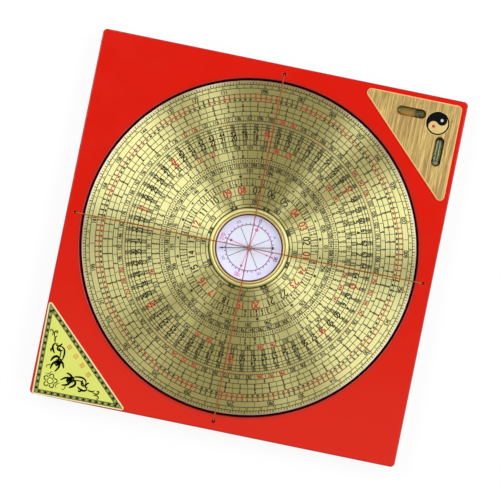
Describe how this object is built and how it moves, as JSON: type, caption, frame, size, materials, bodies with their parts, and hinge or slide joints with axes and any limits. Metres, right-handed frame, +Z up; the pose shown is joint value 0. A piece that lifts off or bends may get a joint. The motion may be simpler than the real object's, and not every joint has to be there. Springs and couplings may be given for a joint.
{
  "type": "feng shui compass",
  "caption": "Square red board with a recessed turning dial, sunk magnetic compass, crossed sighting threads, corner level vials and a corner plaque.",
  "frame": {"origin": "middle of the board's underside, on the dial's pivot axis", "axes": "+Z up along the dial's pivot, +X along the board's side towards the level plate's corner, +Y along the other side towards the same corner"},
  "size_m": [0.26, 0.26, 0.0194],
  "materials": {
    "red_lacquer": "gloss red lacquer over a pressed board",
    "felt": "thin pressed felt",
    "case_brass": "turned brass",
    "cover_black": "fine matt moulding",
    "screw_steel": "bright zinc-plated steel",
    "red_thread": "twisted nylon thread",
    "level_wood": "straight-grained veneer, satin, with a printed sign",
    "vial_glass": "clear blown glass",
    "vial_plug": "dark moulded plug",
    "vial_fluid": "yellow-green spirit",
    "bubble_air": "clear",
    "plaque_print": "printed in green, black and red on lemon yellow, satin",
    "turntable_black": "satin black moulded resin",
    "dial_gold": "pale gold, brushed in circles, printed in black and red",
    "bezel_gold": "polished pale gold",
    "card_paper": "smooth white card printed in pink",
    "spacer_brown": "dark brown ring",
    "compass_glass": "clear flat glass",
    "needle_dark": "blued steel with black ends",
    "cap_brass": "small turned brass cap"
  },
  "bodies": {
    "board": {"base_board": "red_lacquer", "slip_ring": "felt", "pivot_bush": "case_brass", "back_cover": "cover_black", "cover_screw_1": "screw_steel", "cover_screw_2": "screw_steel", "cover_screw_3": "screw_steel", "cover_screw_4": "screw_steel", "thread_east_west": "red_thread", "thread_north_south": "red_thread", "level_plate": "level_wood", "vial_tube_x": "vial_glass", "vial_tube_y": "vial_glass", "vial_plug_x": "vial_plug", "vial_plug_y": "vial_plug", "vial_fluid_x": "vial_fluid", "vial_fluid_y": "vial_fluid", "corner_plaque": "plaque_print"},
    "dial": {"turntable": "turntable_black", "dial_plate": "dial_gold", "retaining_washer": "screw_steel", "pivot_screw": "screw_steel", "compass_bezel": "bezel_gold", "compass_case": "case_brass", "compass_card": "card_paper", "glass_spacer": "spacer_brown", "compass_glass": "compass_glass", "pivot_pin": "screw_steel"},
    "needle": {"needle_blade": "needle_dark", "needle_cap": "cap_brass"},
    "level_bubble_x": {"bubble_x": "bubble_air"},
    "level_bubble_y": {"bubble_y": "bubble_air"}
  },
  "joints": [
    {"name": "dial_turn", "type": "hinge", "parent": "board", "child": "dial", "pos_m": [0, 0, 0.0147], "axis": [0, 0, 1], "continuous": true},
    {"name": "needle_swing", "type": "hinge", "parent": "dial", "child": "needle", "pos_m": [0, 0, 0.0141], "axis": [0, 0, 1], "continuous": true},
    {"name": "bubble_x_slide", "type": "slide", "parent": "board", "child": "level_bubble_x", "axis": [1, 0, 0], "range_m": [0, 0.0117]},
    {"name": "bubble_y_slide", "type": "slide", "parent": "board", "child": "level_bubble_y", "axis": [0, -1, 0], "range_m": [0, 0.0117]}
  ]
}
